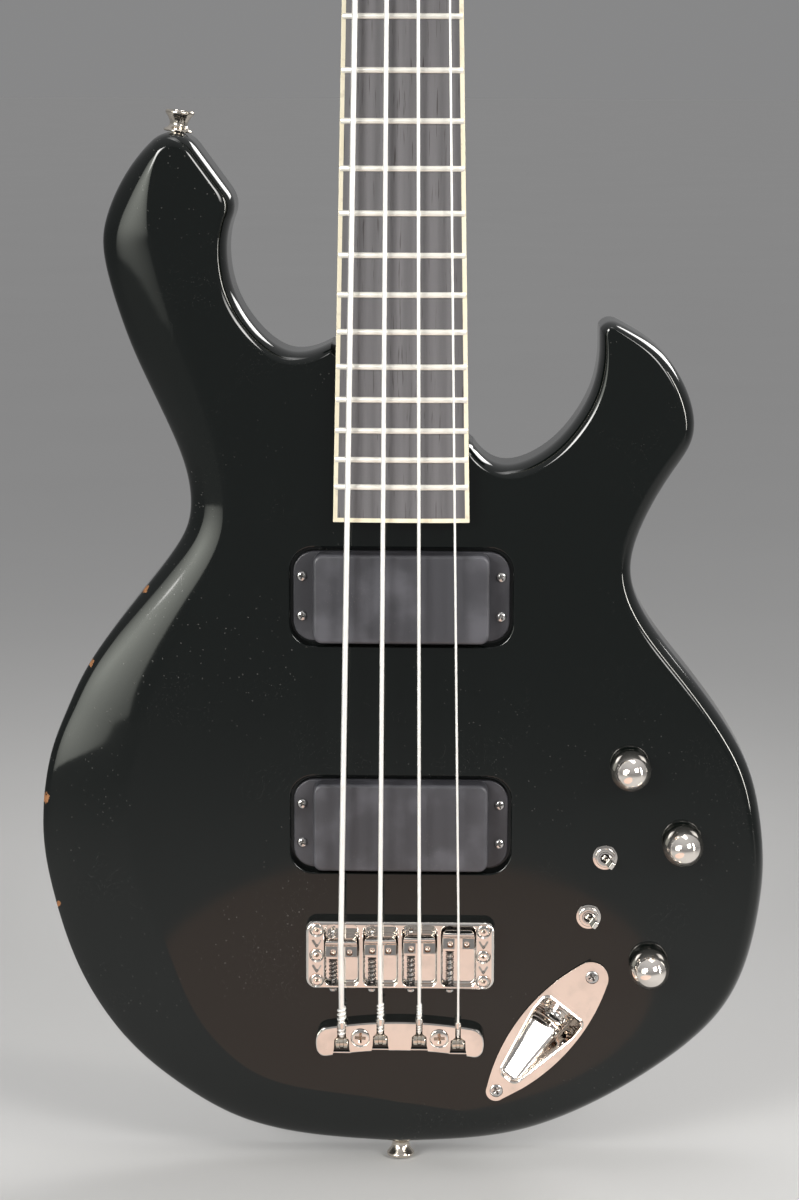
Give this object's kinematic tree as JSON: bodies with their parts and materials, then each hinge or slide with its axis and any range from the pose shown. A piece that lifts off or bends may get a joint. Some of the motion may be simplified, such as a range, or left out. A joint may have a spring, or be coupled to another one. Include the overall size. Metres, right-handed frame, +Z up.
{
  "type": "electric bass guitar",
  "caption": "Electric bass guitar with a carved horned body, bolt-on neck, humbucking pickups, sliding bridge saddles, tailpiece and geared tuners; held for playing by strap buttons.",
  "frame": {"origin": "seat of the tail strap button, on the centre line at half the body's thickness", "axes": "+Z up the neck, +X to the treble side, +Y to the back; the strings face -Y"},
  "size_m": [0.3467, 0.0604, 1.1611],
  "materials": {
    "black_lacquer": "gloss black lacquer over wood, lightly scratched",
    "dark_board": "bare dark hardwood, satin from use",
    "ivory": "aged ivory-coloured binding",
    "fret_wire": "polished nickel silver",
    "string_wire": "round-wound nickel",
    "spring_black": "blackened steel",
    "brass": "turned brass",
    "black_plastic": "satin moulded plastic",
    "coil_copper": "enamelled copper winding",
    "magnet": "cast magnet",
    "steel": "plain steel",
    "chrome": "bright chrome plate"
  },
  "bodies": {
    "instrument": {"body": "black_lacquer", "control_cover": "black_plastic", "cover_screws": "chrome", "neck": "black_lacquer", "neck_screws": "steel", "neck_ferrules": "chrome", "fretboard": "dark_board", "fretboard_binding": "ivory", "frets": "fret_wire", "nut": "ivory", "truss_rod": "steel", "truss_rod_cover": "black_plastic", "neck_pickup_cover": "black_plastic", "bridge_pickup_cover": "black_plastic", "pickup_coils": "coil_copper", "pickup_magnets": "magnet", "pickup_screws": "steel", "bridge_tray": "chrome", "bridge_screws": "chrome", "tailpiece": "chrome", "string_ball_ends": "brass", "potentiometers": "steel", "control_nuts": "chrome", "toggle_switches": "steel", "jack_plate": "chrome", "output_jack": "steel", "strap_buttons": "chrome", "strap_button_screws": "chrome", "tuner_cases": "chrome", "tuner_bushes": "chrome", "tuner_screws": "chrome", "intonation_spring_e": "spring_black", "intonation_spring_a": "spring_black", "intonation_spring_d": "spring_black", "intonation_spring_g": "spring_black", "string_e": "string_wire", "string_a": "string_wire", "string_d": "string_wire", "string_g": "string_wire"},
    "saddle_e": {"saddle_e": "chrome"},
    "intonation_screw_e": {"intonation_screw_e": "chrome"},
    "saddle_a": {"saddle_a": "chrome"},
    "intonation_screw_a": {"intonation_screw_a": "chrome"},
    "saddle_d": {"saddle_d": "chrome"},
    "intonation_screw_d": {"intonation_screw_d": "chrome"},
    "saddle_g": {"saddle_g": "chrome"},
    "intonation_screw_g": {"intonation_screw_g": "chrome"},
    "knob_upper": {"knob_upper": "chrome"},
    "knob_middle": {"knob_middle": "chrome"},
    "knob_lower": {"knob_lower": "chrome"},
    "toggle_lever_upper": {"toggle_lever_upper": "chrome"},
    "toggle_lever_lower": {"toggle_lever_lower": "chrome"},
    "tuner_key_e": {"tuner_key_e": "chrome"},
    "tuner_post_e": {"tuner_post_e": "chrome"},
    "tuner_key_a": {"tuner_key_a": "chrome"},
    "tuner_post_a": {"tuner_post_a": "chrome"},
    "tuner_key_d": {"tuner_key_d": "chrome"},
    "tuner_post_d": {"tuner_post_d": "chrome"},
    "tuner_key_g": {"tuner_key_g": "chrome"},
    "tuner_post_g": {"tuner_post_g": "chrome"}
  },
  "joints": [
    {"name": "saddle_e_slide", "type": "slide", "parent": "instrument", "child": "saddle_e", "axis": [0, 0, 1], "range_m": [-0.005, 0.005], "deforming": ["intonation_spring_e", "string_e"]},
    {"name": "intonation_screw_e_turn", "type": "hinge", "parent": "instrument", "child": "intonation_screw_e", "pos_m": [-0.03218, -0.0256, 0.0824], "axis": [0, 0, 1], "range_deg": [-3601, 3601]},
    {"name": "saddle_a_slide", "type": "slide", "parent": "instrument", "child": "saddle_a", "axis": [0, 0, 1], "range_m": [-0.005, 0.004], "deforming": ["intonation_spring_a", "string_a"]},
    {"name": "intonation_screw_a_turn", "type": "hinge", "parent": "instrument", "child": "intonation_screw_a", "pos_m": [-0.01353, -0.0256, 0.0824], "axis": [0, 0, 1], "range_deg": [-3601, 2881]},
    {"name": "saddle_d_slide", "type": "slide", "parent": "instrument", "child": "saddle_d", "axis": [0, 0, 1], "range_m": [-0.005, 0.003], "deforming": ["intonation_spring_d", "string_d"]},
    {"name": "intonation_screw_d_turn", "type": "hinge", "parent": "instrument", "child": "intonation_screw_d", "pos_m": [0.00513, -0.0256, 0.0824], "axis": [0, 0, 1], "range_deg": [-3601, 2161]},
    {"name": "saddle_g_slide", "type": "slide", "parent": "instrument", "child": "saddle_g", "axis": [0, 0, 1], "range_m": [-0.006, 0.001], "deforming": ["intonation_spring_g", "string_g"]},
    {"name": "intonation_screw_g_turn", "type": "hinge", "parent": "instrument", "child": "intonation_screw_g", "pos_m": [0.02378, -0.0256, 0.0824], "axis": [0, 0, 1], "range_deg": [-4321, 721]},
    {"name": "knob_upper_turn", "type": "hinge", "parent": "instrument", "child": "knob_upper", "pos_m": [0.109, -0.021, 0.1905], "axis": [0, -1, 0], "range_deg": [-150, 150]},
    {"name": "knob_middle_turn", "type": "hinge", "parent": "instrument", "child": "knob_middle", "pos_m": [0.1343, -0.021, 0.154], "axis": [0, -1, 0], "range_deg": [-150, 150]},
    {"name": "knob_lower_turn", "type": "hinge", "parent": "instrument", "child": "knob_lower", "pos_m": [0.1193, -0.021, 0.0936], "axis": [0, -1, 0], "range_deg": [-150, 150]},
    {"name": "toggle_upper_flip", "type": "hinge", "parent": "instrument", "child": "toggle_lever_upper", "pos_m": [0.0976, -0.021, 0.1467], "axis": [0.5299, 0, 0.848], "range_deg": [-40, 0]},
    {"name": "toggle_lower_flip", "type": "hinge", "parent": "instrument", "child": "toggle_lever_lower", "pos_m": [0.0901, -0.021, 0.1175], "axis": [0.5299, 0, 0.848], "range_deg": [-40, 0]},
    {"name": "tuner_key_e_turn", "type": "hinge", "parent": "instrument", "child": "tuner_key_e", "pos_m": [-0.036, 0.002, 1.0371], "axis": [-1, 0, 0], "continuous": true},
    {"name": "tuner_post_e_turn", "type": "hinge", "parent": "instrument", "child": "tuner_post_e", "pos_m": [-0.025, -0.0203, 1.0311], "axis": [0, -1, 0], "continuous": true},
    {"name": "tuner_key_a_turn", "type": "hinge", "parent": "instrument", "child": "tuner_key_a", "pos_m": [-0.031, 0.002, 1.1051], "axis": [-1, 0, 0], "continuous": true},
    {"name": "tuner_post_a_turn", "type": "hinge", "parent": "instrument", "child": "tuner_post_a", "pos_m": [-0.02, -0.0203, 1.0991], "axis": [0, -1, 0], "continuous": true},
    {"name": "tuner_key_d_turn", "type": "hinge", "parent": "instrument", "child": "tuner_key_d", "pos_m": [0.031, 0.002, 1.1051], "axis": [1, 0, 0], "continuous": true},
    {"name": "tuner_post_d_turn", "type": "hinge", "parent": "instrument", "child": "tuner_post_d", "pos_m": [0.02, -0.0203, 1.0991], "axis": [0, -1, 0], "continuous": true},
    {"name": "tuner_key_g_turn", "type": "hinge", "parent": "instrument", "child": "tuner_key_g", "pos_m": [0.036, 0.002, 1.0371], "axis": [1, 0, 0], "continuous": true},
    {"name": "tuner_post_g_turn", "type": "hinge", "parent": "instrument", "child": "tuner_post_g", "pos_m": [0.025, -0.0203, 1.0311], "axis": [0, -1, 0], "continuous": true}
  ],
  "couplings": [
    {"joint": "intonation_screw_e_turn", "follows": "saddle_e_slide", "rad_per_m": 12566},
    {"joint": "intonation_screw_a_turn", "follows": "saddle_a_slide", "rad_per_m": 12566},
    {"joint": "intonation_screw_d_turn", "follows": "saddle_d_slide", "rad_per_m": 12566},
    {"joint": "intonation_screw_g_turn", "follows": "saddle_g_slide", "rad_per_m": 12566},
    {"joint": "tuner_post_e_turn", "follows": "tuner_key_e_turn", "ratio": -0.05},
    {"joint": "tuner_post_a_turn", "follows": "tuner_key_a_turn", "ratio": -0.05},
    {"joint": "tuner_post_d_turn", "follows": "tuner_key_d_turn", "ratio": 0.05},
    {"joint": "tuner_post_g_turn", "follows": "tuner_key_g_turn", "ratio": 0.05}
  ]
}
